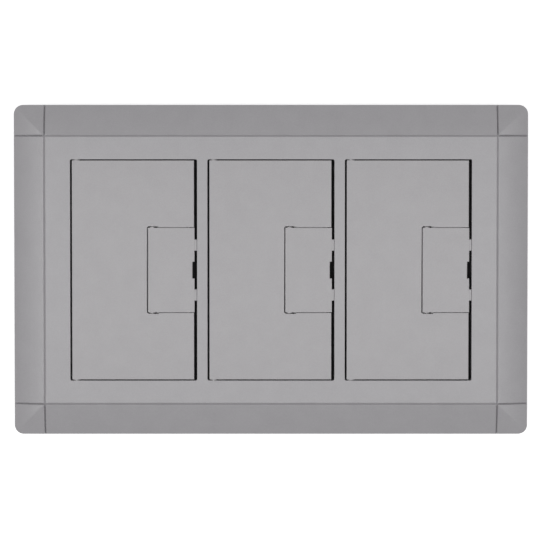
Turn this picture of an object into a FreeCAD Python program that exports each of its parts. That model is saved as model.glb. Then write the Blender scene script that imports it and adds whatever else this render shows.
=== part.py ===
"""Three-gang floor box cover: a grooved flange, three hinged lids and a cable door in each lid.

All lengths are millimetres. +Z is up, +X runs along the row of lids and +Y towards the back.
The origin is under the middle of the cover, at the bottom of the collar that drops into the floor.
"""
import FreeCAD
import Part
import Sketcher
import math
import os

# Driving dimensions. Each one can be changed by itself.
SIZES = {
    # flange
    "end_margin": 13.1,
    "side_margin": 11.95,
    "plate_corner": 4.8,
    "collar_depth": 9.0,
    "deck_rise": 6.0,
    "lip_height": 1.2,
    "border_width": 15.7,
    "border_bulge": 0.66,
    "groove_width": 1.1,
    "groove_depth": 0.8,
    "ridge_round": 3.0,
    "deck_wall": 2.4,
    # floor seal in its channel under the flange
    "seal_inset": 4.5,
    "seal_width": 5.0,
    "seal_height": 1.5,
    "seal_side_gap": 0.1,
    "seal_rib": 2.5,
    # webs in the hollow under the deck
    "web_width": 1.8,
    "web_clearance": 0.8,
    # wells
    "well_width": 64.6,
    "mullion_width": 5.25,
    "well_length": 112.7,
    "well_corner": 0.8,
    "collar_wall": 2.5,
    "ledge_drop": 5.3,
    "ledge_thickness": 2.2,
    "hinge_ledge": 8.6,
    "edge_ledge": 4.2,
    # screw pads in the outer wells
    "screw_inset_x": 12.15,
    "screw_inset_y": 9.35,
    "screw_hole": 4.4,
    "screw_head": 8.4,
    "screw_head_depth": 2.0,
    "screw_pad_margin": 5.0,
    "screw_pad_thickness": 4.0,
    # lids
    "lid_thickness": 3.0,
    "lid_hinge_gap": 1.0,
    "lid_free_gap": 1.6,
    "lid_end_gap": 0.62,
    "lid_axis_inset": 2.1,
    "lid_axis_drop": 2.0,
    "lid_barrel_diameter": 3.9,
    "lid_ear_clearance": 0.15,
    "rib_depth": 1.8,
    "rib_width": 1.8,
    "rib_gap": 0.8,
    # lid hinge pins
    "lid_pin_diameter": 2.0,
    "lid_pin_reach": 5.5,
    "lid_pin_fit": 0.05,
    "lid_pin_end_space": 0.5,
    "boss_width": 5.0,
    "boss_length": 2.0,
    "pin_channel_width": 2.4,
    "pin_channel_roof": 0.95,
    # cable doors
    "door_width": 23.8,
    "door_length": 43.0,
    "door_thickness": 2.7,
    "door_proud": 0.25,
    "door_hinge_gap": 0.42,
    "door_side_gap": 0.28,
    "door_axis_inset": 2.2,
    "door_axis_drop": 1.6,
    "door_barrel_diameter": 3.1,
    "door_ear_length": 0.5,
    "door_ear_gap": 0.3,
    "door_ear_room": 0.45,
    "door_ear_free_room": 1.85,
    "door_edge_round": 0.5,
    "door_core_depth": 0.8,
    "door_core_rim": 3.0,
    "door_lip": 1.5,
    "door_swing_room": 2.4,
    "door_slot_room": 0.3,
    "notch_length": 8.6,
    "notch_depth": 1.1,
    "tab_spacing": 25.4,
    "tab_length": 5.6,
    "tab_reach": 1.15,
    "tab_drop": 0.15,
    "tab_thickness": 1.2,
    "tab_root": 1.5,
    "landing_reach": 0.9,
    "landing_gap": 0.3,
    # cable door pins
    "door_pin_diameter": 1.5,
    "door_pin_fit": 0.05,
    "door_pin_seat": 5.0,
    "door_pin_snap": 0.2,
    # lid seals
    "gasket_width": 2.5,
    "gasket_height": 2.0,
    "gasket_hinge_room": 5.6,
    "gasket_edge_room": 1.2,
    "gasket_corner": 1.5,
    "gasket_skirt": 0.5,
    "gasket_skirt_gap": 0.1,
}

GANGS = {"left": -1, "middle": 0, "right": 1}
PAST_SURFACE = 5.0
GROOVE_OVERCUT = 1.4


class Length:
    """A length as the text of its expression and as its number now."""

    def __init__(self, text, value):
        self.text = text
        self.value = value

    def joined(self, sign, other, value):
        """This length and another, or a plain number, with a sign between them."""
        text = other.text if isinstance(other, Length) else repr(other)
        return Length(f"({self.text} {sign} {text})", value)

    def __add__(self, other):
        return self.joined("+", other, self.value + number(other))

    def __sub__(self, other):
        return self.joined("-", other, self.value - number(other))

    def __mul__(self, other):
        return self.joined("*", other, self.value * number(other))

    def __truediv__(self, other):
        return self.joined("/", other, self.value / number(other))

    def __neg__(self):
        return self.joined("*", -1, -self.value)


def number(length):
    """The plain number of a length or of a number."""
    return length.value if isinstance(length, Length) else length


doc = FreeCAD.newDocument("floor_box_cover")
sheet = doc.addObject("Spreadsheet::Sheet", "sizes")
for row, (alias, value) in enumerate(SIZES.items(), start=1):
    sheet.set(f"A{row}", str(value))
    sheet.setAlias(f"A{row}", alias)
doc.recompute()

size = {alias: Length(f"sizes.{alias}", value) for alias, value in SIZES.items()}

# Sketching and features


def new_body(name):
    """Start a body whose name and label are the piece's name."""
    return doc.addObject("PartDesign::Body", name)


def sketch_on(body, role, offset=None):
    """Add a sketch on one of the body's own origin planes, moved along the plane's normal."""
    plane = next(item for item in body.Origin.OriginFeatures if item.Role == role)
    sketch = body.newObject("Sketcher::SketchObject", body.Name + "_sketch")
    sketch.AttachmentSupport = [(plane, "")]
    sketch.MapMode = "FlatFace"
    if offset is not None:
        sketch.setExpression("AttachmentOffset.Base.z", offset.text)
    return sketch


def dimension(sketch, length, *constraint):
    """Add one driving dimension to a sketch and bind it to its length."""
    item = sketch.addConstraint(Sketcher.Constraint(*constraint, length.value))
    sketch.setExpression(f"Constraints[{item}]", length.text)


def place_point(sketch, element, point, x, y):
    """Hold one point of an element at a place measured from the sketch's origin."""
    dimension(sketch, x, "DistanceX", -1, 1, element, point)
    dimension(sketch, y, "DistanceY", -1, 1, element, point)


def arc_between(start, end, radius):
    """An arc of one radius between two points, bulging up."""
    half = (end - start).Length / 2
    sag = radius - math.sqrt(radius**2 - half**2)
    across = FreeCAD.Vector(start.y - end.y, end.x - start.x, 0).normalize()
    if across.y < 0:
        across = across * -1
    return Part.Arc(start, (start + end) * 0.5 + across * sag, end)


def outline(sketch, corners, curves=None):
    """Draw a closed outline through corners; curves gives the radius of the sides that bulge up."""
    curves = curves or {}
    first = sketch.GeometryCount
    points = [FreeCAD.Vector(x.value, y.value, 0) for x, y in corners]
    ends = []
    for side, start in enumerate(points):
        end = points[(side + 1) % len(points)]
        if side in curves:
            sketch.addGeometry(arc_between(start, end, curves[side].value), False)
            ends.append((1, 2) if end.x < start.x else (2, 1))
        else:
            sketch.addGeometry(Part.LineSegment(start, end), False)
            ends.append((1, 2))
    for side, (x, y) in enumerate(corners):
        before = (side - 1) % len(corners)
        sketch.addConstraint(
            Sketcher.Constraint("Coincident", first + before, ends[before][1], first + side, ends[side][0])
        )
        place_point(sketch, first + side, ends[side][0], x, y)
    for side, radius in curves.items():
        dimension(sketch, radius, "Radius", first + side)


def rectangle(sketch, left, right, bottom, top):
    """Draw a rectangle between two places in x and two in y."""
    outline(sketch, [(left, bottom), (right, bottom), (right, top), (left, top)])


def rounded_rectangle(sketch, left, right, bottom, top, radius):
    """Draw a rectangle whose four corners have one radius."""
    first = sketch.GeometryCount
    r = radius.value
    x0, x1 = left.value + r, right.value - r
    y0, y1 = bottom.value + r, top.value - r
    sides = [((x0, y0 - r), (x1, y0 - r)), ((x1 + r, y0), (x1 + r, y1)),
             ((x1, y1 + r), (x0, y1 + r)), ((x0 - r, y1), (x0 - r, y0))]
    centres = [(x1, y0), (x1, y1), (x0, y1), (x0, y0)]
    for quarter, ((start, end), centre) in enumerate(zip(sides, centres)):
        turn = math.radians(90 * (quarter - 1))
        circle = Part.Circle(FreeCAD.Vector(*centre, 0), FreeCAD.Vector(0, 0, 1), r)
        sketch.addGeometry(Part.LineSegment(FreeCAD.Vector(*start, 0), FreeCAD.Vector(*end, 0)), False)
        sketch.addGeometry(Part.ArcOfCircle(circle, turn, turn + math.pi / 2), False)
    for item in range(8):
        after = first + (item + 1) % 8
        sketch.addConstraint(Sketcher.Constraint("Tangent", first + item, 2, after, 1))
    for side, direction in ((0, "Horizontal"), (2, "Vertical"), (4, "Horizontal"), (6, "Vertical")):
        sketch.addConstraint(Sketcher.Constraint(direction, first + side))
    for arc in (3, 5, 7):
        sketch.addConstraint(Sketcher.Constraint("Equal", first + 1, first + arc))
    dimension(sketch, radius, "Radius", first + 1)
    dimension(sketch, bottom, "DistanceY", -1, 1, first, 1)
    dimension(sketch, right, "DistanceX", -1, 1, first + 2, 1)
    dimension(sketch, top, "DistanceY", -1, 1, first + 4, 1)
    dimension(sketch, left, "DistanceX", -1, 1, first + 6, 1)


def circle(sketch, x, y, diameter):
    """Draw a circle at a place."""
    centre = FreeCAD.Vector(x.value, y.value, 0)
    item = sketch.addGeometry(Part.Circle(centre, FreeCAD.Vector(0, 0, 1), diameter.value / 2), False)
    place_point(sketch, item, 3, x, y)
    dimension(sketch, diameter, "Diameter", item)


def extrude(body, kind, sketch, length=None, both_ways=False, backwards=False):
    """Pad or pocket a sketch, by a length or through everything."""
    feature = body.newObject("PartDesign::" + kind, body.Name + "_" + kind.lower())
    feature.Profile = sketch
    feature.Reversed = backwards
    if both_ways:
        feature.SideType = "Symmetric"
    if length is None:
        feature.Type = "ThroughAll"
    else:
        feature.setExpression("Length", length.text)
    return feature


def both_signs(length):
    """A length and its opposite, as the two places of a symmetric pair."""
    return -length, length


# Places that several pieces share

floor_level = size["collar_depth"]
deck_level = floor_level + size["deck_rise"]
ledge_level = deck_level - size["ledge_drop"]
hollow_top = deck_level - size["deck_wall"]
gang_pitch = size["well_width"] + size["mullion_width"]
well_half_width = size["well_width"] / 2
well_half_length = size["well_length"] / 2
outer_well_wall = gang_pitch + well_half_width
collar_half_length = outer_well_wall + size["collar_wall"]
collar_half_width = well_half_length + size["collar_wall"]
deck_half_length = outer_well_wall + size["end_margin"]
deck_half_width = well_half_length + size["side_margin"]
half_length = deck_half_length + size["border_width"]
half_width = deck_half_width + size["border_width"]
border_fall = size["deck_rise"] - size["lip_height"]
border_chord_squared = size["border_width"] * size["border_width"] + border_fall * border_fall
border_radius = border_chord_squared / (size["border_bulge"] * 8) + size["border_bulge"] / 2
screw_x = outer_well_wall - size["screw_inset_x"]
screw_y = well_half_length - size["screw_inset_y"]
hollow_inset = size["seal_inset"] + size["seal_width"] + size["seal_rib"]
hollow_half_length = half_length - hollow_inset
hollow_half_width = half_width - hollow_inset

lid_left = size["lid_hinge_gap"] - well_half_width
lid_right = well_half_width - size["lid_free_gap"]
lid_end = well_half_length - size["lid_end_gap"]
lid_axis_x = lid_left + size["lid_axis_inset"]
lid_axis_z = deck_level - size["lid_axis_drop"]
lid_under = deck_level - size["lid_thickness"]
ear_end = well_half_length - size["lid_ear_clearance"]
rib_left = size["hinge_ledge"] + size["rib_gap"] - well_half_width
rib_right = well_half_width - size["edge_ledge"] - size["rib_gap"]
rib_end = well_half_length - size["edge_ledge"] - size["rib_gap"]

door_right = lid_right + size["door_proud"]
door_left = door_right - size["door_width"]
door_end = size["door_length"] / 2
door_axis_x = door_left + size["door_axis_inset"]
door_axis_z = deck_level - size["door_axis_drop"]
slot_left = door_left - size["door_hinge_gap"]
slot_end = door_end + size["door_side_gap"]
ear_room_left = door_axis_x - size["door_barrel_diameter"] / 2 - size["door_ear_room"]
ear_room_right = door_axis_x + size["door_barrel_diameter"] / 2 + size["door_ear_free_room"]
ear_room_end = door_end + size["door_ear_length"] + size["door_ear_gap"]
door_pin_end = ear_room_end + size["door_pin_seat"]
rib_slot_left = slot_left - size["door_slot_room"]
lip_start = door_axis_x + size["door_swing_room"]
lip_end = slot_end - size["door_lip"]
tab_under = deck_level - size["tab_drop"] - size["tab_thickness"]

pin_inner = ear_end - size["lid_pin_reach"]
pin_outer = collar_half_width + size["boss_length"]

# Flange: crowned plate, grooves, hollow underside, collar, three wells


def crown(sketch, half_span, deck_half, top, lip):
    """Draw the section of the crown: flat in the middle, curving down to a lip at both edges."""
    left, right = both_signs(half_span)
    deck_left, deck_right = both_signs(deck_half)
    corners = [(left, floor_level), (right, floor_level), (right, lip), (deck_right, top),
               (deck_left, top), (left, lip)]
    outline(sketch, corners, {2: border_radius, 4: border_radius})


def above_crown(sketch, half_span, deck_half, top, lip):
    """Draw what lies above the crown's section, out past both edges."""
    past = half_span + PAST_SURFACE
    left, right = both_signs(half_span)
    deck_left, deck_right = both_signs(deck_half)
    ceiling = deck_level + PAST_SURFACE
    corners = [(-past, lip), (left, lip), (deck_left, top), (deck_right, top), (right, lip), (past, lip),
               (past, ceiling), (-past, ceiling)]
    outline(sketch, corners, {1: border_radius, 3: border_radius})


def build_flange():
    """Build the flange, the one moulding that carries the lids and lies on the floor."""
    body = new_body("flange")
    lip = floor_level + size["lip_height"]
    crown_sketch = sketch_on(body, "XZ_Plane")
    crown(crown_sketch, half_length, deck_half_length, deck_level, lip)
    extrude(body, "Pad", crown_sketch, half_width * 2, both_ways=True)

    side_cut = sketch_on(body, "YZ_Plane")
    above_crown(side_cut, half_width, deck_half_width, deck_level, lip)
    extrude(body, "Pocket", side_cut, both_ways=True)
    doc.recompute()
    round_edges(body, ridge_names(body.Tip.Shape), size["ridge_round"])

    trim = sketch_on(body, "XY_Plane", floor_level)
    rectangle(trim, *both_signs(half_length + PAST_SURFACE), *both_signs(half_width + PAST_SURFACE))
    rounded_rectangle(trim, *both_signs(half_length), *both_signs(half_width), size["plate_corner"])
    extrude(body, "Pocket", trim, backwards=True)

    groove_top = deck_level - size["groove_depth"]
    groove_lip = lip - size["groove_depth"]
    for place in both_signs(deck_half_length):
        groove = sketch_on(body, "YZ_Plane", place)
        above_crown(groove, half_width, deck_half_width, groove_top, groove_lip)
        cut_groove(body, groove)
    for place in both_signs(deck_half_width):
        groove = sketch_on(body, "XZ_Plane", place)
        above_crown(groove, half_length, deck_half_length, groove_top, groove_lip)
        cut_groove(body, groove)

    seal_channel = sketch_on(body, "XY_Plane", floor_level)
    seal_outlines(seal_channel, grow=size["seal_side_gap"])
    extrude(body, "Pocket", seal_channel, size["seal_height"], backwards=True)

    hollow = sketch_on(body, "XY_Plane", floor_level)
    rectangle(hollow, *both_signs(hollow_half_length), *both_signs(hollow_half_width))
    rectangle(hollow, *both_signs(collar_half_length), *both_signs(collar_half_width))
    extrude(body, "Pocket", hollow, hollow_top - floor_level, backwards=True)

    collar = sketch_on(body, "XY_Plane")
    rounded_rectangle(collar, *both_signs(collar_half_length), *both_signs(collar_half_width),
                      size["collar_wall"])
    extrude(body, "Pad", collar, hollow_top)

    web_bottom = floor_level + size["web_clearance"]
    web_half = size["web_width"] / 2
    webs_across = sketch_on(body, "XY_Plane", web_bottom)
    for quarter in (-5, -3, -1, 1, 3, 5):
        middle = gang_pitch * quarter / 4
        rectangle(webs_across, middle - web_half, middle + web_half, *both_signs(hollow_half_width))
    extrude(body, "Pad", webs_across, hollow_top - web_bottom)
    webs_along = sketch_on(body, "XY_Plane", web_bottom)
    for quarter in (-1, 1):
        middle = size["well_length"] * quarter / 4
        rectangle(webs_along, *both_signs(hollow_half_length), middle - web_half, middle + web_half)
    extrude(body, "Pad", webs_along, hollow_top - web_bottom)

    bosses = sketch_on(body, "XZ_Plane")
    boss_half = size["boss_width"] / 2
    for place in GANGS.values():
        middle = gang_pitch * place + lid_axis_x
        rectangle(bosses, middle - boss_half, middle + boss_half, lid_axis_z - boss_half, hollow_top)
    extrude(body, "Pad", bosses, pin_outer * 2, both_ways=True)

    cut_wells(body)
    add_screw_pads(body)
    add_landings(body)

    bores = sketch_on(body, "XZ_Plane")
    for place in GANGS.values():
        circle(bores, gang_pitch * place + lid_axis_x, lid_axis_z, size["lid_pin_diameter"])
    extrude(body, "Pocket", bores, pin_outer * 2, both_ways=True)
    channels = sketch_on(body, "XY_Plane", floor_level)
    for place in GANGS.values():
        middle = gang_pitch * place + lid_axis_x
        left = middle - size["pin_channel_width"] / 2
        right = middle + size["pin_channel_width"] / 2
        rectangle(channels, left, right, pin_outer, hollow_half_width)
        rectangle(channels, left, right, -hollow_half_width, -pin_outer)
    extrude(body, "Pocket", channels, size["deck_rise"] - size["pin_channel_roof"], backwards=True)
    return body


def cut_groove(body, sketch):
    """Cut a groove with sloping sides that stays equally deep where the border falls away."""
    groove = extrude(body, "Pocket", sketch, size["groove_width"] * GROOVE_OVERCUT, both_ways=True)
    slope = size["groove_depth"] * 2 / size["groove_width"]
    groove.setExpression("TaperAngle", f"-atan({slope.text})")
    groove.setExpression("TaperAngle2", f"-atan({slope.text})")


def ridge_names(shape):
    """The names of the four edges where the border's slopes meet at the corners."""
    span = size["border_width"].value
    return [f"Edge{item}" for item, edge in enumerate(shape.Edges, start=1)
            if min(edge.BoundBox.XLength, edge.BoundBox.YLength) > span / 2
            and max(edge.BoundBox.XLength, edge.BoundBox.YLength) < span * 2]


def seal_outlines(sketch, grow=None):
    """Draw the two outlines of the floor seal, or of its channel where it grows at the sides."""
    outer_inset = size["seal_inset"] if grow is None else size["seal_inset"] - grow
    inner_inset = size["seal_inset"] + size["seal_width"]
    if grow is not None:
        inner_inset = inner_inset + grow
    for inset in (outer_inset, inner_inset):
        rounded_rectangle(sketch, *both_signs(half_length - inset), *both_signs(half_width - inset),
                          size["plate_corner"])


def cut_wells(body):
    """Cut the wells down to their ledges, open the ledges, and hollow the collar below them."""
    wells = sketch_on(body, "XY_Plane", deck_level)
    openings = sketch_on(body, "XY_Plane", ledge_level)
    below = sketch_on(body, "XY_Plane")
    for place in GANGS.values():
        middle = gang_pitch * place
        left, right = middle - well_half_width, middle + well_half_width
        front, back = both_signs(well_half_length)
        rounded_rectangle(wells, left, right, front, back, size["well_corner"])
        rounded_rectangle(openings, left + size["hinge_ledge"], right - size["edge_ledge"],
                          front + size["edge_ledge"], back - size["edge_ledge"], size["gasket_corner"])
        rounded_rectangle(below, left, right, front, back, size["well_corner"])
    extrude(body, "Pocket", wells, size["ledge_drop"])
    extrude(body, "Pocket", openings)
    extrude(body, "Pocket", below, ledge_level - size["ledge_thickness"], backwards=True)


def add_screw_pads(body):
    """Add a pad in each outer corner of the outer wells, with a counterbored screw hole."""
    pads = sketch_on(body, "XY_Plane", ledge_level - size["screw_pad_thickness"])
    inner_x = screw_x - size["screw_pad_margin"]
    inner_y = screw_y - size["screw_pad_margin"]
    outer_x = collar_half_length - size["collar_wall"] / 2
    outer_y = collar_half_width - size["collar_wall"] / 2
    for left, right in ((inner_x, outer_x), (-outer_x, -inner_x)):
        for front, back in ((inner_y, outer_y), (-outer_y, -inner_y)):
            rectangle(pads, left, right, front, back)
    extrude(body, "Pad", pads, size["screw_pad_thickness"])

    centres = sketch_on(body, "XY_Plane", ledge_level)
    for x in both_signs(screw_x):
        for y in both_signs(screw_y):
            circle(centres, x, y, size["screw_hole"])
    doc.recompute()
    hole = body.newObject("PartDesign::Hole", "screw_holes")
    hole.Profile = centres
    hole.Threaded = False
    hole.setExpression("Diameter", size["screw_hole"].text)
    hole.DepthType = "ThroughAll"
    hole.HoleCutType = "Counterbore"
    hole.HoleCutCustomValues = True
    hole.setExpression("HoleCutDiameter", size["screw_head"].text)
    hole.setExpression("HoleCutDepth", size["screw_head_depth"].text)


def add_landings(body):
    """Add the two small blocks on each well's right wall that the cable door's tabs land on."""
    landings = sketch_on(body, "XY_Plane", ledge_level)
    for place in GANGS.values():
        wall = gang_pitch * place + well_half_width
        for middle in both_signs(size["tab_spacing"] / 2):
            rectangle(landings, wall - size["landing_reach"], wall + size["landing_reach"],
                      middle - size["tab_length"] / 2, middle + size["tab_length"] / 2)
    extrude(body, "Pad", landings, tab_under - size["landing_gap"] - ledge_level)


def build_flange_gasket():
    """Build the seal between the flange and the floor."""
    body = new_body("flange_gasket")
    sketch = sketch_on(body, "XY_Plane", floor_level)
    seal_outlines(sketch)
    extrude(body, "Pad", sketch, size["seal_height"])
    return body


# Lids, cable doors, seals and pins, each built about the middle of its well


def build_lid(name):
    """Build a lid: a plate with a slot for its cable door, a hinge barrel and ribs underneath."""
    body = new_body("lid_" + name)
    plate = sketch_on(body, "XY_Plane", lid_under)
    back_half = [(slot_left, slot_end), (ear_room_left, slot_end), (ear_room_left, ear_room_end),
                 (ear_room_right, ear_room_end), (ear_room_right, slot_end), (lid_right, slot_end),
                 (lid_right, lid_end), (lid_left, lid_end)]
    front_half = [(x, -y) for x, y in reversed(back_half)]
    outline(plate, front_half + back_half)
    extrude(body, "Pad", plate, size["lid_thickness"])

    barrel = sketch_on(body, "XZ_Plane")
    circle(barrel, lid_axis_x, lid_axis_z, size["lid_barrel_diameter"])
    extrude(body, "Pad", barrel, ear_end * 2, both_ways=True)

    rib_bottom = lid_under - size["rib_depth"]
    ribs = sketch_on(body, "XY_Plane", rib_bottom)
    back_half = [(rib_slot_left, ear_room_end), (lip_start, ear_room_end), (lip_start, lip_end),
                 (rib_right, lip_end), (rib_right, rib_end), (rib_left, rib_end)]
    front_half = [(x, -y) for x, y in reversed(back_half)]
    outline(ribs, front_half + back_half)
    extrude(body, "Pad", ribs, size["rib_depth"])

    cells = sketch_on(body, "XY_Plane", rib_bottom)
    rib = size["rib_width"]
    column_right = rib_slot_left - rib
    cell_left, cell_end = rib_left + rib, rib_end - rib
    cross_rib = cell_end / 3
    rectangle(cells, cell_left, column_right, cross_rib + rib / 2, cell_end)
    rectangle(cells, cell_left, column_right, -cross_rib + rib / 2, cross_rib - rib / 2)
    rectangle(cells, cell_left, column_right, -cell_end, -cross_rib - rib / 2)
    seat_end = door_pin_end + rib
    rectangle(cells, rib_slot_left, rib_right - rib, seat_end, cell_end)
    rectangle(cells, rib_slot_left, rib_right - rib, -cell_end, -seat_end)
    extrude(body, "Pocket", cells, size["rib_depth"], backwards=True)

    bore = size["lid_pin_diameter"] + size["lid_pin_fit"] * 2
    depth = size["lid_pin_reach"] + size["lid_pin_end_space"]
    for place, backwards in ((-ear_end, True), (ear_end, False)):
        end = sketch_on(body, "XZ_Plane", place)
        circle(end, lid_axis_x, lid_axis_z, bore)
        extrude(body, "Pocket", end, depth, backwards=backwards)

    seat = sketch_on(body, "XZ_Plane")
    circle(seat, door_axis_x, door_axis_z, size["door_pin_diameter"])
    extrude(body, "Pocket", seat, door_pin_end * 2, both_ways=True)
    entry = sketch_on(body, "XY_Plane", rib_bottom)
    entry_half = (size["door_pin_diameter"] - size["door_pin_snap"]) / 2
    rectangle(entry, door_axis_x - entry_half, door_axis_x + entry_half, *both_signs(door_pin_end))
    extrude(body, "Pocket", entry, door_axis_z - rib_bottom, backwards=True)
    return body


def build_door(name):
    """Build a cable door: a flap with a hinge barrel, a finger notch and two landing tabs."""
    body = new_body("cable_door_" + name)
    plate = sketch_on(body, "XY_Plane", deck_level - size["door_thickness"])
    notch_end = size["notch_length"] / 2
    notch_left = door_right - size["notch_depth"]
    back_half = [(notch_left, notch_end), (door_right, notch_end), (door_right, door_end),
                 (door_left, door_end)]
    front_half = [(x, -y) for x, y in reversed(back_half)]
    outline(plate, front_half + back_half)
    extrude(body, "Pad", plate, size["door_thickness"])

    tabs = sketch_on(body, "XY_Plane", tab_under)
    for middle in both_signs(size["tab_spacing"] / 2):
        rectangle(tabs, door_right - size["tab_root"], door_right + size["tab_reach"],
                  middle - size["tab_length"] / 2, middle + size["tab_length"] / 2)
    extrude(body, "Pad", tabs, size["tab_thickness"])

    core = sketch_on(body, "XY_Plane", deck_level - size["door_thickness"])
    rim = size["door_core_rim"]
    rectangle(core, door_axis_x + rim, door_right - rim, *both_signs(door_end - rim))
    extrude(body, "Pocket", core, size["door_core_depth"], backwards=True)
    doc.recompute()
    hinge_edge = edges_along_y(body.Tip.Shape, door_left, deck_level)
    round_edges(body, hinge_edge, size["door_edge_round"])

    barrel = sketch_on(body, "XZ_Plane")
    circle(barrel, door_axis_x, door_axis_z, size["door_barrel_diameter"])
    extrude(body, "Pad", barrel, (door_end + size["door_ear_length"]) * 2, both_ways=True)
    bore = sketch_on(body, "XZ_Plane")
    circle(bore, door_axis_x, door_axis_z, size["door_pin_diameter"] + size["door_pin_fit"] * 2)
    extrude(body, "Pocket", bore, both_ways=True)
    return body


def edges_along_y(shape, x, z):
    """The names of the edges that run front to back at a place in x and z."""
    place = FreeCAD.Vector(x.value, 0, z.value)
    along = FreeCAD.Vector(0, 1, 0)
    return [f"Edge{item}" for item, edge in enumerate(shape.Edges, start=1)
            if all((point.Point - place).cross(along).Length < 1e-4 for point in edge.Vertexes)]


def round_edges(body, names, radius):
    """Round the named edges of the body as it stands."""
    fillet = body.newObject("PartDesign::Fillet", body.Name + "_fillet")
    fillet.Base = (fillet.BaseFeature, names)
    fillet.setExpression("Radius", radius.text)


def build_lid_gasket(name):
    """Build the seal on a well's ledge: a bead that the lid closes on and a skirt out to the walls."""
    body = new_body("lid_gasket_" + name)
    ring = sketch_on(body, "XY_Plane", ledge_level)
    width, edge = size["gasket_width"], size["gasket_edge_room"]
    left, right = size["gasket_hinge_room"] - well_half_width, well_half_width - edge
    end = well_half_length - edge
    rounded_rectangle(ring, left, right, *both_signs(end), size["gasket_corner"] + width)
    rounded_rectangle(ring, left + width, right - width, *both_signs(end - width), size["gasket_corner"])
    extrude(body, "Pad", ring, size["gasket_height"])

    skirt = sketch_on(body, "XY_Plane", ledge_level)
    gap = size["gasket_skirt_gap"]
    rounded_rectangle(skirt, *both_signs(well_half_width - gap), *both_signs(well_half_length - gap),
                      size["well_corner"])
    rounded_rectangle(skirt, left + width, right - width, *both_signs(end - width), size["gasket_corner"])
    extrude(body, "Pad", skirt, size["gasket_skirt"])
    cut_outs = sketch_on(body, "XY_Plane", ledge_level)
    for middle in both_signs(size["tab_spacing"] / 2):
        rectangle(cut_outs, well_half_width - size["landing_reach"] - gap, well_half_width,
                  middle - size["tab_length"] / 2 - gap, middle + size["tab_length"] / 2 + gap)
    extrude(body, "Pocket", cut_outs, backwards=True)
    return body


def build_pin(name, x, z, start, end, diameter):
    """Build a steel pin that runs front to back between two places in y."""
    pin = doc.addObject("Part::Cylinder", name)
    pin.setExpression("Radius", (diameter / 2).text)
    pin.setExpression("Height", (end - start).text)
    pin.Placement = FreeCAD.Placement(FreeCAD.Vector(), FreeCAD.Rotation(FreeCAD.Vector(1, 0, 0), -90))
    pin.setExpression("Placement.Base.x", x.text)
    pin.setExpression("Placement.Base.y", start.text)
    pin.setExpression("Placement.Base.z", z.text)
    return pin


def build_gang(name, place):
    """Build one gang's lid, cable door, seal and pins, and put them in their well."""
    middle = gang_pitch * place
    pieces = [build_lid(name), build_door(name), build_lid_gasket(name)]
    for piece in pieces:
        piece.setExpression("Placement.Base.x", middle.text)
    pieces.append(build_pin("lid_pin_" + name + "_back", middle + lid_axis_x, lid_axis_z,
                            pin_inner, pin_outer, size["lid_pin_diameter"]))
    pieces.append(build_pin("lid_pin_" + name + "_front", middle + lid_axis_x, lid_axis_z,
                            -pin_outer, -pin_inner, size["lid_pin_diameter"]))
    pieces.append(build_pin("door_pin_" + name, middle + door_axis_x, door_axis_z,
                            -door_pin_end, door_pin_end, size["door_pin_diameter"]))
    return pieces


def check_document():
    """Stop on any feature that failed, came out empty, or left its body's volume as it was."""
    for item in doc.Objects:
        if "Invalid" in item.State or "Error" in item.State:
            raise RuntimeError(f"{item.Name} failed: {item.State}")
        changes_volume = item.isDerivedFrom("PartDesign::FeatureAddSub")
        base = getattr(item, "BaseFeature", None)
        if changes_volume and base and abs(base.Shape.Volume - item.Shape.Volume) < 1e-3:
            raise RuntimeError(f"{item.Name} changed nothing")


def write_parts(pieces):
    """Check each piece's shape and write it under its own label."""
    os.makedirs("parts", exist_ok=True)
    for piece in pieces:
        shape = piece.Shape
        if shape.isNull() or not shape.isValid() or not shape.Solids:
            raise RuntimeError(f"{piece.Label} has no valid solid")
    for piece in pieces:
        piece.Shape.exportStep(f"parts/{piece.Label}.step")


all_pieces = [build_flange(), build_flange_gasket()]
for gang_name, gang_place in GANGS.items():
    all_pieces += build_gang(gang_name, gang_place)
doc.recompute()
check_document()
write_parts(all_pieces)
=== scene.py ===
"""Dress the floor box cover: soften its moulded edges, finish every piece, light it and frame it.

Lengths are metres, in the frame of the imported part: +X along the row of lids, +Y towards the back,
+Z out of the floor. The cover's own solids stay as they are. The flange, lids, cable doors and
floor seal are worked copies that stand for their solids, and the lid seals and pins are surfaces
worked out here. The body that holds a piece carries it.
"""

import logging
import math
from dataclasses import dataclass
from enum import Enum

import bmesh
import bpy
import numpy as np
from mathutils import Matrix, Vector


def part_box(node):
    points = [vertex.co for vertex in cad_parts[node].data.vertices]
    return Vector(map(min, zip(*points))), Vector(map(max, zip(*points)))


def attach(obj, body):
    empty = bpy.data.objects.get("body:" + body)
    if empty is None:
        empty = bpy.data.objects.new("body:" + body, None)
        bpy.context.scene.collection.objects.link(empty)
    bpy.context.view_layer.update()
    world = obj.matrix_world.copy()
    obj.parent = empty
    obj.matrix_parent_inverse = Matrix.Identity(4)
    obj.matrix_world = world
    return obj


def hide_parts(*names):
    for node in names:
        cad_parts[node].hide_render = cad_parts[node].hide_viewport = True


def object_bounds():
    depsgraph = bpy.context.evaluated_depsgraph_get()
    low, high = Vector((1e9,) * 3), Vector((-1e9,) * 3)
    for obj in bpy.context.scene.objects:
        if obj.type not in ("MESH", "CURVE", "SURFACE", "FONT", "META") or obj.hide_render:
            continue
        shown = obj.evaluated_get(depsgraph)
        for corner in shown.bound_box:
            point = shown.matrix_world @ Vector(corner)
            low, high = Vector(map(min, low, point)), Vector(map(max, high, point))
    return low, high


LOG = logging.getLogger("floor_box_cover")

Colour = tuple[float, float, float]

MM = 0.001
GANGS = ("left", "middle", "right")
COVER_COLOUR: Colour = (0.385, 0.375, 0.391)
LID_COLOUR: Colour = (0.388, 0.376, 0.390)

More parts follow.
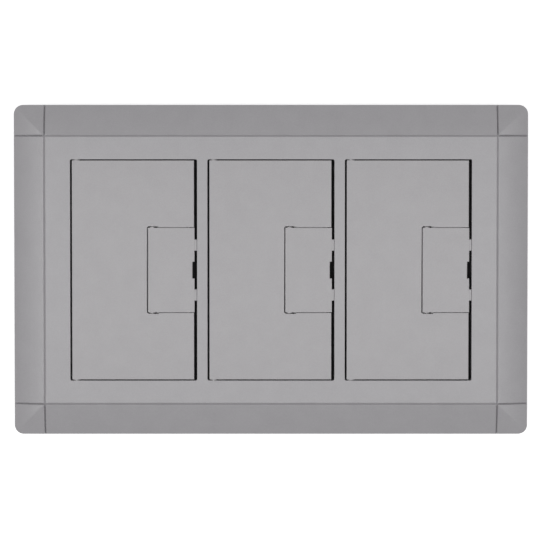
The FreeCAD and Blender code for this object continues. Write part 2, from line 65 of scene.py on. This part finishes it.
# Points closer than WELD are one. A point closer than ON_LINE to a line of the flange is on it.
WELD = 0.001 * MM
CUT_ROOM = 0.0001 * MM
ON_LINE = 0.01 * MM

# Edges that are longer and sharper than these are softened, and flatter ones than FLAT_ANGLE go.
SOFT_LENGTH = 1.2 * MM
SHARP_ANGLE = math.radians(28)
FLAT_ANGLE = math.radians(0.3)
SOFT_SEGMENTS = 2

# Nearly all values of a noise pattern lie between these two.
NOISE_LOW = 0.3
NOISE_HIGH = 0.7

# The picture is a square of this many pixels.
PICTURE_SIZE = 540

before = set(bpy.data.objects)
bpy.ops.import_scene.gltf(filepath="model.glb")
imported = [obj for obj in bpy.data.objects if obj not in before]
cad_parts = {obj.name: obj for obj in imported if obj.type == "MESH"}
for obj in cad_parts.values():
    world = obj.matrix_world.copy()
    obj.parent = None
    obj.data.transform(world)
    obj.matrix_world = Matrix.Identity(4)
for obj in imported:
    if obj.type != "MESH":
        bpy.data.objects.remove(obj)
CAD_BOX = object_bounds()

# How far the cover reaches in x, y and z, to a thousandth of a millimetre.
REACH = tuple(round(size, 6) for size in CAD_BOX[1])


class Body(Enum):
    """The rigid bodies of the cover, by the start of their names."""

    FRAME = "frame"
    LID = "lid_"
    DOOR = "cable_door_"

    def of(self, gang: str = "") -> str:
        """The full name of this body in one gang."""
        return self.value + gang


class Slot(Enum):
    """The part's material slots."""

    COVER = "cover_grey"
    SEAL = "seal_foam"
    STEEL = "pin_steel"


# Finishes


def shader_nodes(material: bpy.types.Material) -> tuple[bpy.types.NodeTree, bpy.types.ShaderNode]:
    """Switch a material to nodes and find its shader.

    Args:
        material: The material to set up.

    Returns:
        The material's node tree and its Principled shader.
    """
    material.use_nodes = True
    tree = material.node_tree
    return tree, tree.nodes["Principled BSDF"]


def object_noise(tree: bpy.types.NodeTree, feature: float,
                 detail: float = 2.0) -> bpy.types.ShaderNode:
    """Add a noise pattern that is fixed to the piece.

    Args:
        tree: The node tree to add to.
        feature: The size of one blotch in metres.
        detail: How many finer layers the noise has.

    Returns:
        The noise node.
    """
    place = tree.nodes.new("ShaderNodeTexCoord")
    noise = tree.nodes.new("ShaderNodeTexNoise")
    noise.inputs["Scale"].default_value = 1.0 / feature
    noise.inputs["Detail"].default_value = detail
    tree.links.new(place.outputs["Object"], noise.inputs["Vector"])
    return noise


def colour_between(tree: bpy.types.NodeTree, noise: bpy.types.ShaderNode, low: Colour,
                   high: Colour) -> bpy.types.NodeSocket:
    """Turn a noise pattern into a colour that wanders between two others.

    Args:
        tree: The node tree to add to.
        noise: The noise node that drives the colour.
        low: The colour where the noise is low.
        high: The colour where the noise is high.

    Returns:
        The socket that gives the colour.
    """
    ramp = tree.nodes.new("ShaderNodeValToRGB")
    stops = ramp.color_ramp.elements
    stops[0].position, stops[1].position = NOISE_LOW, NOISE_HIGH
    stops[0].color, stops[1].color = (*low, 1.0), (*high, 1.0)
    tree.links.new(noise.outputs["Fac"], ramp.inputs["Fac"])
    return ramp.outputs["Color"]


def bump_by(tree: bpy.types.NodeTree, shader: bpy.types.ShaderNode, height: bpy.types.NodeSocket,
            strength: float, depth: float) -> None:
    """Let a pattern raise the surface in the shading.

    Args:
        tree: The node tree to add to.
        shader: The shader whose surface it raises.
        height: The socket that gives the pattern.
        strength: How much of the pattern is felt, from 0 to 1.
        depth: The height of the pattern in metres.
    """
    bump = tree.nodes.new("ShaderNodeBump")
    bump.inputs["Strength"].default_value = strength
    bump.inputs["Distance"].default_value = depth
    tree.links.new(height, bump.inputs["Height"])
    tree.links.new(bump.outputs["Normal"], shader.inputs["Normal"])


def arithmetic(tree: bpy.types.NodeTree, operation: str,
               *values: bpy.types.NodeSocket | float) -> bpy.types.NodeSocket:
    """Add a node that works one value out of others.

    Args:
        tree: The node tree to add to.
        operation: The name of the operation, such as MULTIPLY.
        values: The sockets or numbers that it works on.

    Returns:
        The socket that gives the value.
    """
    node = tree.nodes.new("ShaderNodeMath")
    node.operation = operation
    for entry, value in zip(node.inputs, values):
        if isinstance(value, bpy.types.NodeSocket):
            tree.links.new(value, entry)
        else:
            entry.default_value = value
    return node.outputs["Value"]


def scaled(colour: Colour, factor: float) -> Colour:
    """A colour made lighter or darker by one factor."""
    return tuple(channel * factor for channel in colour)


@dataclass(frozen=True)
class MouldedPlastic:
    """Matt moulded plastic with a fine spark-eroded texture."""

    name: str
    colour: Colour
    mottle: float = 0.02
    mottle_size: float = 9 * MM
    mottle_detail: float = 3.0
    speckle: float = 0.035
    grain_size: float = 0.55 * MM
    grain_detail: float = 4.0
    grain_depth: float = 0.03 * MM
    grain_strength: float = 0.25
    roughness: float = 0.26
    specular: float = 0.5

    def material(self) -> bpy.types.Material:
        """Build the material: a mottled colour with fine flecks, over a bump of the same grain.

        Returns:
            The new material.
        """
        made = bpy.data.materials.new(self.name)
        tree, shader = shader_nodes(made)
        shader.inputs["Roughness"].default_value = self.roughness
        shader.inputs["Specular IOR Level"].default_value = self.specular
        mottle = object_noise(tree, self.mottle_size, self.mottle_detail)
        tint = colour_between(tree, mottle, scaled(self.colour, 1 - self.mottle),
                              scaled(self.colour, 1 + self.mottle))
        grain = object_noise(tree, self.grain_size, self.grain_detail)
        fleck = tree.nodes.new("ShaderNodeMapRange")
        fleck.inputs["From Min"].default_value = NOISE_LOW
        fleck.inputs["From Max"].default_value = NOISE_HIGH
        fleck.inputs["To Min"].default_value = 1 - self.speckle
        fleck.inputs["To Max"].default_value = 1 + self.speckle
        dotted = tree.nodes.new("ShaderNodeVectorMath")
        dotted.operation = "SCALE"
        tree.links.new(grain.outputs["Fac"], fleck.inputs["Value"])
        tree.links.new(tint, dotted.inputs[0])
        tree.links.new(fleck.outputs["Result"], dotted.inputs["Scale"])
        tree.links.new(dotted.outputs["Vector"], shader.inputs["Base Color"])
        bump_by(tree, shader, grain.outputs["Fac"], self.grain_strength, self.grain_depth)
        return made


@dataclass(frozen=True)
class SealFoam:
    """Black closed-cell rubber, dull, with pinprick cells."""

    name: str = "seal_rubber"
    colour: Colour = (0.018, 0.018, 0.019)
    blotch_size: float = 4 * MM
    darkest: float = 0.8
    lightest: float = 1.3
    cell_size: float = 0.5 * MM
    cell_depth: float = 0.08 * MM
    cell_strength: float = 0.5
    roughness: float = 0.85
    specular: float = 0.25

    def material(self) -> bpy.types.Material:
        """Build the material: a dull dark skin pitted with small cells.

        Returns:
            The new material.
        """
        made = bpy.data.materials.new(self.name)
        tree, shader = shader_nodes(made)
        shader.inputs["Roughness"].default_value = self.roughness
        shader.inputs["Specular IOR Level"].default_value = self.specular
        tint = colour_between(tree, object_noise(tree, self.blotch_size),
                              scaled(self.colour, self.darkest),
                              scaled(self.colour, self.lightest))
        tree.links.new(tint, shader.inputs["Base Color"])
        place = tree.nodes.new("ShaderNodeTexCoord")
        cells = tree.nodes.new("ShaderNodeTexVoronoi")
        cells.inputs["Scale"].default_value = 1.0 / self.cell_size
        tree.links.new(place.outputs["Object"], cells.inputs["Vector"])
        bump_by(tree, shader, cells.outputs["Distance"], self.cell_strength, self.cell_depth)
        return made


@dataclass(frozen=True)
class PinSteel:
    """Bright drawn steel, with fine lines along the pin."""

    name: str = "drawn_steel"
    colour: Colour = (0.60, 0.59, 0.57)
    darkest: float = 0.85
    line_size: float = 0.15 * MM
    line_stretch: float = 0.04
    line_depth: float = 0.01 * MM
    line_strength: float = 0.3
    roughness: float = 0.32

    def material(self) -> bpy.types.Material:
        """Build the material: metal whose fine noise is drawn out along Y.

        Returns:
            The new material.
        """
        made = bpy.data.materials.new(self.name)
        tree, shader = shader_nodes(made)
        shader.inputs["Metallic"].default_value = 1.0
        shader.inputs["Roughness"].default_value = self.roughness
        place = tree.nodes.new("ShaderNodeTexCoord")
        stretch = tree.nodes.new("ShaderNodeMapping")
        stretch.inputs["Scale"].default_value = (1.0, self.line_stretch, 1.0)
        lines = tree.nodes.new("ShaderNodeTexNoise")
        lines.inputs["Scale"].default_value = 1.0 / self.line_size
        tree.links.new(place.outputs["Object"], stretch.inputs["Vector"])
        tree.links.new(stretch.outputs["Vector"], lines.inputs["Vector"])
        tint = colour_between(tree, lines, scaled(self.colour, self.darkest), self.colour)
        tree.links.new(tint, shader.inputs["Base Color"])
        bump_by(tree, shader, lines.outputs["Fac"], self.line_strength, self.line_depth)
        return made


# Surfaces


def grid_object(name: str, points: np.ndarray, around: bool, along: bool) -> bpy.types.Object:
    """Make a mesh object of a grid of points, joined into four-sided faces.

    Args:
        name: The piece's name.
        points: Places as an array of rows, columns and three coordinates.
        around: Whether the last column joins the first.
        along: Whether the last row joins the first.

    Returns:
        The new object, linked to the scene.
    """
    rows, columns = points.shape[:2]
    row = np.arange(rows if along else rows - 1)
    column = np.arange(columns if around else columns - 1)
    row, column = (item.ravel() for item in np.meshgrid(row, column, indexing="ij"))
    next_row, next_column = (row + 1) % rows, (column + 1) % columns
    faces = np.stack([row * columns + column, row * columns + next_column,
                      next_row * columns + next_column, next_row * columns + column], axis=1)
    mesh = bpy.data.meshes.new(name)
    mesh.vertices.add(rows * columns)
    mesh.vertices.foreach_set("co", points.reshape(-1).astype(np.float32))
    mesh.loops.add(faces.size)
    mesh.loops.foreach_set("vertex_index", faces.reshape(-1).astype(np.int32))
    mesh.polygons.add(len(faces))
    mesh.polygons.foreach_set("loop_start", np.arange(0, faces.size, 4, dtype=np.int32))
    mesh.update(calc_edges=True)
    mesh.validate()
    made = bpy.data.objects.new(name, mesh)
    bpy.context.scene.collection.objects.link(made)
    return made


def rounded_rectangle(half_x: float, half_y: float, radius: float,
                      steps: int) -> tuple[np.ndarray, np.ndarray]:
    """A closed path round a rectangle with rounded corners, with its outward directions.

    The place is the centre of the nearest corner arc plus the outward direction times the radius,
    and the direction turns a quarter within each corner.

    Args:
        half_x: Half of the rectangle's size in x.
        half_y: Half of the rectangle's size in y.
        radius: The corner radius.
        steps: The number of points in each corner.

    Returns:
        The places and the outward directions, each an array of points by two.
    """
    turn = np.linspace(0, math.pi / 2, steps)
    angle = (np.arange(4)[:, None] * math.pi / 2 + turn[None, :]).ravel()
    outward = np.stack([np.cos(angle), np.sin(angle)], axis=1)
    corner = np.repeat(np.array([[1, 1], [-1, 1], [-1, -1], [1, -1]], float), steps, axis=0)
    centre = corner * np.array([half_x - radius, half_y - radius])
    return centre + outward * radius, outward


def turned_rod(name: str, axis_x: float, axis_z: float, stations: np.ndarray, radii: np.ndarray,
               sides: int) -> bpy.types.Object:
    """Turn a profile about an axis that runs along y.

    A point is the axis place plus the station's radius at each angle, at the station's y. A ring
    whose radius is nothing becomes one point, which closes the rod there.

    Args:
        name: The piece's name.
        axis_x: The axis's place in x.
        axis_z: The axis's place in z.
        stations: The y of each step along the rod, rising.
        radii: The radius at each step.
        sides: The number of sides.

    Returns:
        The new object.
    """
    angle = np.linspace(0, 2 * math.pi, sides, endpoint=False)
    x = axis_x + radii[:, None] * np.cos(angle)[None, :]
    z = axis_z + radii[:, None] * np.sin(angle)[None, :]
    y = np.broadcast_to(stations[:, None], x.shape)
    rod = grid_object(name, np.stack([x, y, z], axis=2), around=True, along=False)
    shape = bmesh.new()
    shape.from_mesh(rod.data)
    bmesh.ops.remove_doubles(shape, verts=shape.verts, dist=WELD)
    shape.to_mesh(rod.data)
    shape.free()
    return rod


def finish_piece(piece: bpy.types.Object, material: bpy.types.Material, body: str,
                 smooth: bool = True) -> None:
    """Give a new piece its finish and slot, and let its body carry it.

    Args:
        piece: The new piece.
        material: Its material.
        body: The name of the body that it moves with.
        smooth: Whether its faces are shaded as one smooth surface.
    """
    piece.data.materials.clear()
    piece.data.materials.append(material)
    if smooth:
        piece.data.shade_smooth()
    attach(piece, body)
    LOG.info("%s: %d faces on %s", piece.name, len(piece.data.polygons), body)


def merged_copy(node: str, name: str) -> tuple[bpy.types.Object, bmesh.types.BMesh]:
    """Copy one of the cover's own solids, with its triangles joined, ready to be worked on.

    Args:
        node: The solid's name.
        name: The copy's name.

    Returns:
        The copy's object and its open mesh.
    """
    copy = bpy.data.objects.new(name, bpy.data.meshes.new(name))
    bpy.context.scene.collection.objects.link(copy)
    shape = bmesh.new()
    shape.from_mesh(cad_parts[node].data)
    bmesh.ops.remove_doubles(shape, verts=shape.verts, dist=WELD)
    return copy, shape


def weigh_edges(shape: bmesh.types.BMesh) -> None:
    """Mark the long sharp edges of a shape, which are the ones that its mould rounds visibly.

    Args:
        shape: The open mesh.
    """
    shape.normal_update()
    weight = shape.edges.layers.float.new("bevel_weight_edge")
    for line in shape.edges:
        if (len(line.link_faces) == 2 and line.calc_length() > SOFT_LENGTH
                and line.calc_face_angle() > SHARP_ANGLE):
            line[weight] = 1.0


def soften(piece: bpy.types.Object, edge: float) -> None:
    """Round the marked edges of a piece.

    Args:
        piece: The piece's object.
        edge: The width of its softened edges in metres.
    """
    soft = piece.modifiers.new("soft_edges", "BEVEL")
    soft.width = edge
    soft.segments = SOFT_SEGMENTS
    soft.limit_method = "WEIGHT"
    soft.use_clamp_overlap = False


def finish_copy(copy: bpy.types.Object, shape: bmesh.types.BMesh, node: str,
                material: bpy.types.Material, body: str, edge: float) -> None:
    """Join a worked copy's flat faces, soften its edges and let it stand for its solid.

    The solid's stored shading directions are dropped, because they don't fit the worked faces.

    Args:
        copy: The copy's object.
        shape: Its open mesh, which is freed.
        node: The name of the solid that it stands for.
        material: Its material.
        body: The name of the body that it moves with.
        edge: The width of its softened edges in metres.
    """
    bmesh.ops.dissolve_limit(shape, angle_limit=FLAT_ANGLE, use_dissolve_boundaries=False,
                             verts=shape.verts, edges=shape.edges)
    weigh_edges(shape)
    shape.to_mesh(copy.data)
    shape.free()
    stored = copy.data.attributes.get("custom_normal")
    if stored is not None:
        copy.data.attributes.remove(stored)
    copy.data.shade_flat()
    soften(copy, edge)
    finish_piece(copy, material, body, smooth=False)
    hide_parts(node)


# Sub-assemblies


@dataclass
class Flange:
    """The grooved flange and the seal under it."""

    groove_depth: float = 0.8 * MM
    crossing: float = 1.3 * MM
    shallower: float = 0.22 * MM
    deeper_along_y: float = 0.34 * MM
    deeper_along_x: float = 0.1 * MM
    end_valley: float = 9.7 * MM
    lip_level: float = 10.2 * MM
    border_width: float = 15.7 * MM
    border_bulge: float = 0.66 * MM
    border_steps: int = 16
    facet_room: float = 0.05 * MM
    edge: float = 0.12 * MM
    seal_edge: float = 0.35 * MM

    @property
    def grooves(self) -> tuple[float, float]:
        """How far the grooves' middle lines lie from the cover's middle, in x and in y."""
        return REACH[0] - self.border_width, REACH[1] - self.border_width

    @property
    def deck_level(self) -> float:
        """The height of the deck, the top of the cover."""
        return REACH[2]

    def build(self, plastic: bpy.types.Material, rubber: bpy.types.Material) -> None:
        """Dress the flange and make its floor seal.

        Args:
            plastic: The flange's finish.
            rubber: The seal's finish.
        """
        self.plate(plastic)
        self.floor_seal(rubber)

    def plate(self, plastic: bpy.types.Material) -> None:
        """Copy the flange, crown its border in fine strips and shape its grooves' valleys.

        Args:
            plastic: The flange's finish.
        """
        copy, shape = merged_copy("flange", "flange_moulding")
        self.cut_border(shape)
        for vertex in shape.verts:
            self.shape_border(vertex)
        finish_copy(copy, shape, "flange", plastic, Body.FRAME.of(), self.edge)

    def cut_border(self, shape: bmesh.types.BMesh) -> None:
        """Cut the border along its length into strips, and just past where the grooves cross.

        Args:
            shape: The flange's open mesh.
        """
        strips = [step * self.border_width / self.border_steps
                  for step in range(1, self.border_steps)]
        for axis, reach in enumerate(self.grooves):
            for side in (-1, 1):
                normal = Vector((side * (axis == 0), side * (axis == 1), 0.0))
                for past in (self.crossing, *strips):
                    whole = shape.verts[:] + shape.edges[:] + shape.faces[:]
                    bmesh.ops.bisect_plane(shape, geom=whole, dist=CUT_ROOM,
                                           plane_co=normal * (reach + past), plane_no=normal)

    def border_height(self, past: float) -> float:
        """The height of the crowned border, a circle through its two edges with a given bulge.

        Args:
            past: How far out from the groove's middle line.

        Returns:
            The height of the border's surface there.
        """
        fall = self.deck_level - self.lip_level
        chord = math.hypot(self.border_width, fall)
        radius = chord * chord / (8 * self.border_bulge) + self.border_bulge / 2
        below = radius - self.border_bulge
        middle_out = self.border_width / 2 - below * fall / chord
        middle_up = (self.deck_level + self.lip_level) / 2 - below * self.border_width / chord
        return middle_up + math.sqrt(radius * radius - (past - middle_out) ** 2)

    def shape_border(self, vertex: bmesh.types.BMVert) -> None:
        """Put a vertex of the border on its circle, or on the valley of the groove that it is in.

        A valley lies under the groove's middle line. Along the deck it rises by one amount. In the
        border, from a short way past each crossing, it drops by another, to run out at the lip.

        Args:
            vertex: Any vertex of the flange. One that lies elsewhere stays where it is.
        """
        groove_x, groove_y = self.grooves
        past_x, past_y = abs(vertex.co.x) - groove_x, abs(vertex.co.y) - groove_y
        past = max(past_x, past_y)
        if past < -ON_LINE:
            return
        surface = self.border_height(min(past, self.border_width))
        valley = abs(past_x) < ON_LINE or abs(past_y) < ON_LINE
        if abs(vertex.co.z - surface) < self.facet_room:
            vertex.co.z = surface
        elif valley and abs(vertex.co.z - surface + self.groove_depth) < self.facet_room:
            vertex.co.z = surface - self.groove_depth
            if past < ON_LINE:
                vertex.co.z += self.shallower
            elif past > self.border_width - ON_LINE:
                vertex.co.z = self.end_valley
            elif past >= self.crossing - WELD:
                along_y = abs(past_x) < ON_LINE
                vertex.co.z -= self.deeper_along_y if along_y else self.deeper_along_x

    def floor_seal(self, rubber: bpy.types.Material) -> None:
        """Make the flat foam seal that fills the channel under the flange.

        Args:
            rubber: The seal's finish.
        """
        copy, shape = merged_copy("flange_gasket", "floor_seal")
        finish_copy(copy, shape, "flange_gasket", rubber, Body.FRAME.of(),
                    self.seal_edge)


@dataclass
class Gang:
    """One gang of the cover: its lid, cable door, seal and pins.

    The bead's shoulder, foot and toe are shares of its height or width, or of the skirt's height.
    The skirt's profile pairs the share of the way out to the wall with the share of its height.
    """

    name: str
    lid_edge: float = 0.09 * MM
    door_edge: float = 0.06 * MM
    bead_width: float = 2.5 * MM
    bead_edge_room: float = 1.1 * MM
    bead_hinge_room: float = 5.5 * MM
    bead_corner: float = 2.75 * MM
    bead_shoulder: float = 0.45
    bead_foot: tuple[float, float] = (0.9, 0.1)
    bead_toe: float = 1.2
    skirt: float = 0.5 * MM
    skirt_corner: float = 0.8 * MM
    skirt_profile: tuple = ((0.5, 1.0), (0.97, 1.0), (1.0, 0.8), (1.0, 0.0))
    tab_spacing: float = 25.4 * MM
    landing_length: float = 5.8 * MM
    landing_reach: float = 0.9 * MM
    step_slope: float = 0.02 * MM
    corner_steps: int = 12
    dome_steps: int = 14
    pin_sides: int = 32
    pin_chamfer: float = 0.25 * MM

    def build(self, plastic: bpy.types.Material, rubber: bpy.types.Material,
              steel: bpy.types.Material) -> None:
        """Dress the lid and door, and make the seal and pins.

        Args:
            plastic: The lid's and door's finish.
            rubber: The seal's finish.
            steel: The pins' finish.
        """
        for node, body, edge in ((f"lid_{self.name}", Body.LID, self.lid_edge),
                                 (f"cable_door_{self.name}", Body.DOOR, self.door_edge)):
            copy, shape = merged_copy(node, f"{node}_moulding")
            finish_copy(copy, shape, node, plastic, body.of(self.name), edge)
        self.lid_seal(rubber)
        for node, body in ((f"lid_pin_{self.name}_front", Body.FRAME.of()),
                           (f"lid_pin_{self.name}_back", Body.FRAME.of()),
                           (f"door_pin_{self.name}", Body.LID.of(self.name))):
            self.pin(node, body, steel)

    def lid_seal(self, rubber: bpy.types.Material) -> None:
        """Make the rubber seal on the well's ledge: a domed bead with a thin skirt to the walls.

        Each row of the surface is one station round the bead. It starts under the bead's inner
        side, goes over the dome, half an ellipse, down to the skirt, out to the well's wall and
        back under. The skirt's edge steps in where the landings for the door's tabs stand.

        Args:
            rubber: The seal's finish.
        """
        node = f"lid_gasket_{self.name}"
        low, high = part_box(node)
        half_width, height = self.bead_width / 2, high.z - low.z
        edge, hinge = self.bead_edge_room + half_width, self.bead_hinge_room + half_width
        size = (high - low) / 2
        middle = np.array([(low.x + high.x) / 2, (low.y + high.y) / 2])
        bead_shift = np.array([(hinge - edge) / 2, 0.0])
        bead, outward = rounded_rectangle(size.x - (edge + hinge) / 2, size.y - edge,
                                          self.bead_corner, self.corner_steps)
        skirt, _ = rounded_rectangle(size.x, size.y, self.skirt_corner, self.corner_steps)

        # The paths' last side is the right one, and it gains a stop for each corner of a landing.
        inset, stops = self.landing_steps()
        right = np.ones_like(stops)
        bead_stops = np.column_stack([right * bead[:, 0].max(), stops])
        bead = np.concatenate([bead, bead_stops]) + bead_shift
        outward = np.concatenate([outward, np.column_stack([right, right * 0.0])])
        skirt = np.concatenate([skirt, np.column_stack([size.x - inset, stops])])

        profile = self.bead_profile(half_width, height)
        rows = [np.column_stack([bead + outward * side, np.full(len(bead), up)])
                for side, up in profile]
        toe = bead + outward * half_width
        for share, up in self.skirt_profile:
            line = toe + (skirt - toe) * share
            rows.append(np.column_stack([line, np.full(len(bead), up * self.skirt)]))
        places = np.stack(rows, axis=1) + np.array([*middle, low.z])
        seal = grid_object(f"lid_seal_{self.name}", places[:, ::-1], around=True, along=True)
        finish_piece(seal, rubber, Body.FRAME.of())
        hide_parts(node)

    def bead_profile(self, half_width: float, height: float) -> list[tuple[float, float]]:
        """Work out the bead's section, from under its inner side over the dome to its outer foot.

        Args:
            half_width: Half of the bead's width.
            height: The bead's height.

        Returns:
            How far each point lies to the bead's outer side, and how high.
        """
        shoulder = height * self.bead_shoulder
        dome = [(half_width * math.cos(angle), shoulder + (height - shoulder) * math.sin(angle))
                for angle in np.linspace(math.pi, 0, self.dome_steps)]
        foot_share, foot_up = self.bead_foot
        return [(-half_width * foot_share, 0.0), (-half_width, foot_up * height), *dome,
                (half_width, self.skirt * self.bead_toe)]

    def landing_steps(self) -> tuple[np.ndarray, np.ndarray]:
        """Work out how the skirt steps round the two landings on the right wall.

        Returns:
            How far the skirt stays off its outline at each stop, and the stops' places in y.
        """
        inset, stops = [], []
        for middle in (-self.tab_spacing / 2, self.tab_spacing / 2):
            for side, depth in ((-1, 0.0), (-1, 1.0), (1, 1.0), (1, 0.0)):
                fillet = self.step_slope * (depth - 1.0)
                stops.append(middle + side * (self.landing_length / 2 - fillet))
                inset.append(depth * self.landing_reach)
        return np.array(inset), np.array(stops)

    def pin(self, node: str, body: str, steel: bpy.types.Material) -> None:
        """Make a steel pin with chamfered ends.

        Args:
            node: The solid that the pin stands for.
            body: The body that carries it.
            steel: The pin's finish.
        """
        low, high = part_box(node)
        radius = (high.x - low.x) / 2
        chamfer = self.pin_chamfer
        stations = np.array([low.y, low.y, low.y + chamfer, high.y - chamfer, high.y, high.y])
        radii = np.array([0.0, radius - chamfer, radius, radius, radius - chamfer, 0.0])
        rod = turned_rod(node.replace("pin", "rod"), (low.x + high.x) / 2, (low.z + high.z) / 2,
                         stations, radii, self.pin_sides)
        finish_piece(rod, steel, body)
        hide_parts(node)


@dataclass(frozen=True)
class StripField:
    """A stretch of the overhead strip of lamps, on both sides of its middle.

    Args:
        near: How far from the strip's middle it starts.
        far: How far from the strip's middle it ends.
        power: Its watts for each square metre.
    """

    near: float
    far: float
    power: float

    def lamps(self) -> list[tuple[float, float]]:
        """List the lamps that the stretch needs, one in the middle or one on each side.

        Returns:
            Each lamp's place along the strip and its width.
        """
        if self.near == 0:
            return [(0.0, 2 * self.far)]
        return [(side * (self.near + self.far) / 2, self.far - self.near) for side in (-1, 1)]


@dataclass
class Studio:
    """The floor, lights and camera of the photograph."""

    camera_distance: float = 1.5
    camera_tilt: float = math.radians(2.4)
    lens: float = 196.6
    shift: tuple[float, float] = (-0.95 / PICTURE_SIZE, 0.1 / PICTURE_SIZE)
    clip: tuple[float, float] = (0.1, 50.0)
    floor_size: float = 40.0
    outline_inset: float = 12 * MM
    floor_colour: Colour = (0.86, 0.86, 0.86)
    floor_roughness: float = 0.9
    floor_glow: float = 0.6
    sky: float = 0.48
    strip_middle: tuple[float, float, float] = (-0.1, -0.1, 1.9)
    strip_depth: float = 0.4
    strip_fields: tuple[StripField, ...] = (StripField(0.0, 0.9, 12.4), StripField(0.9, 1.4, 8.5),
                                            StripField(1.4, 2.0, 4.3), StripField(2.0, 2.6, 1.8))

    def build(self) -> None:
        """Set up the whole studio."""
        bpy.context.scene.view_settings.view_transform = "Standard"
        self.floor()
        self.world()
        self.strip()
        self.camera()

    def floor(self) -> None:
        """Make the pale floor, which the camera sees a little brighter round the cover."""
        half = self.floor_size / 2
        corners = np.array([[[x, y, 0.0] for x in (-half, half)] for y in (-half, half)])
        floor = grid_object("floor", corners, around=False, along=False)
        material = bpy.data.materials.new("floor_paper")
        tree, shader = shader_nodes(material)
        shader.inputs["Base Color"].default_value = (*self.floor_colour, 1.0)
        shader.inputs["Roughness"].default_value = self.floor_roughness
        shader.inputs["Specular IOR Level"].default_value = 0.0
        seen = tree.nodes.new("ShaderNodeLightPath")
        direct = arithmetic(tree, "MAXIMUM", seen.outputs["Is Camera Ray"],
                            seen.outputs["Is Glossy Ray"])
        clear = arithmetic(tree, "MULTIPLY", direct, self.outside_cover(tree))
        strength = arithmetic(tree, "MULTIPLY", clear, self.floor_glow)
        glow = tree.nodes.new("ShaderNodeEmission")
        both = tree.nodes.new("ShaderNodeAddShader")
        tree.links.new(strength, glow.inputs["Strength"])
        tree.links.new(shader.outputs["BSDF"], both.inputs[0])
        tree.links.new(glow.outputs["Emission"], both.inputs[1])
        tree.links.new(both.outputs["Shader"], tree.nodes["Material Output"].inputs["Surface"])
        floor.data.materials.append(material)

    def outside_cover(self, tree: bpy.types.NodeTree) -> bpy.types.NodeSocket:
        """Add nodes that tell the floor round the cover from the floor under it.

        Args:
            tree: The floor's node tree.

        Returns:
            A socket that is 1 outside the cover's outline and 0 inside it.
        """
        _, high = CAD_BOX
        place = tree.nodes.new("ShaderNodeTexCoord")
        apart = tree.nodes.new("ShaderNodeSeparateXYZ")
        tree.links.new(place.outputs["Object"], apart.inputs["Vector"])
        past = [arithmetic(tree, "GREATER_THAN",
                           arithmetic(tree, "ABSOLUTE", apart.outputs[axis]),
                           reach - self.outline_inset)
                for axis, reach in (("X", high[0]), ("Y", high[1]))]
        return arithmetic(tree, "MAXIMUM", *past)

    def world(self) -> None:
        """Light the room evenly, and show it white to the camera."""
        world = bpy.data.worlds.new("studio")
        bpy.context.scene.world = world
        world.use_nodes = True
        tree = world.node_tree
        background = tree.nodes["Background"]
        background.inputs["Color"].default_value = (1.0, 1.0, 1.0, 1.0)
        seen = tree.nodes.new("ShaderNodeLightPath")
        spread = tree.nodes.new("ShaderNodeMapRange")
        spread.inputs["To Min"].default_value = self.sky
        spread.inputs["To Max"].default_value = 1.0
        tree.links.new(seen.outputs["Is Camera Ray"], spread.inputs["Value"])
        tree.links.new(spread.outputs["Result"], background.inputs["Strength"])

    def strip(self) -> None:
        """Hang the strip of softboxes side by side, weaker towards its two ends."""
        for index, field in enumerate(self.strip_fields):
            for number, (along, width) in enumerate(field.lamps()):
                place = Vector(self.strip_middle) + Vector((along, 0.0, 0.0))
                self.softbox(f"strip_{index}_{number}", place, (width, self.strip_depth),
                             field.power * width * self.strip_depth)

    def softbox(self, name: str, place: Vector, size: tuple[float, float], watts: float) -> None:
        """Hang one softbox. It leans towards the cover in y only, so that the strip stays flat.

        Args:
            name: The lamp's name.
            place: Where it hangs.
            size: Its width and depth.
            watts: Its power.
        """
        lamp = bpy.data.lights.new(name, "AREA")
        lamp.shape = "RECTANGLE"
        lamp.size, lamp.size_y = size
        lamp.energy = watts
        made = bpy.data.objects.new(name, lamp)
        made.location = place
        back = Vector((0.0, place.y, place.z)).normalized()
        across = Vector((0.0, 1.0, 0.0)).cross(back).normalized()
        turned = Matrix((across, back.cross(across), back)).transposed()
        made.rotation_euler = turned.to_euler()
        bpy.context.scene.collection.objects.link(made)

    def camera(self) -> None:
        """Place the camera above the deck, leaning a little from the back."""
        lens = bpy.data.cameras.new("camera")
        lens.lens = self.lens
        lens.shift_x, lens.shift_y = self.shift
        lens.clip_start, lens.clip_end = self.clip
        made = bpy.data.objects.new("camera", lens)
        away = Vector((0.0, math.sin(self.camera_tilt), math.cos(self.camera_tilt)))
        made.location = Vector((0.0, 0.0, REACH[2])) + away * self.camera_distance
        made.rotation_euler = (-self.camera_tilt, 0.0, 0.0)
        bpy.context.scene.collection.objects.link(made)
        bpy.context.scene.camera = made


def main() -> None:
    """Build the studio, then dress the cover from the flange to the last pin."""
    logging.basicConfig(level=logging.INFO)
    Studio().build()
    cover = MouldedPlastic("cover_plastic", COVER_COLOUR).material()
    lid = MouldedPlastic("lid_plastic", LID_COLOUR).material()
    rubber = SealFoam().material()
    steel = PinSteel().material()
    Flange().build(cover, rubber)
    for name in GANGS:
        Gang(name).build(lid, rubber, steel)


if __name__ == "__main__":
    main()
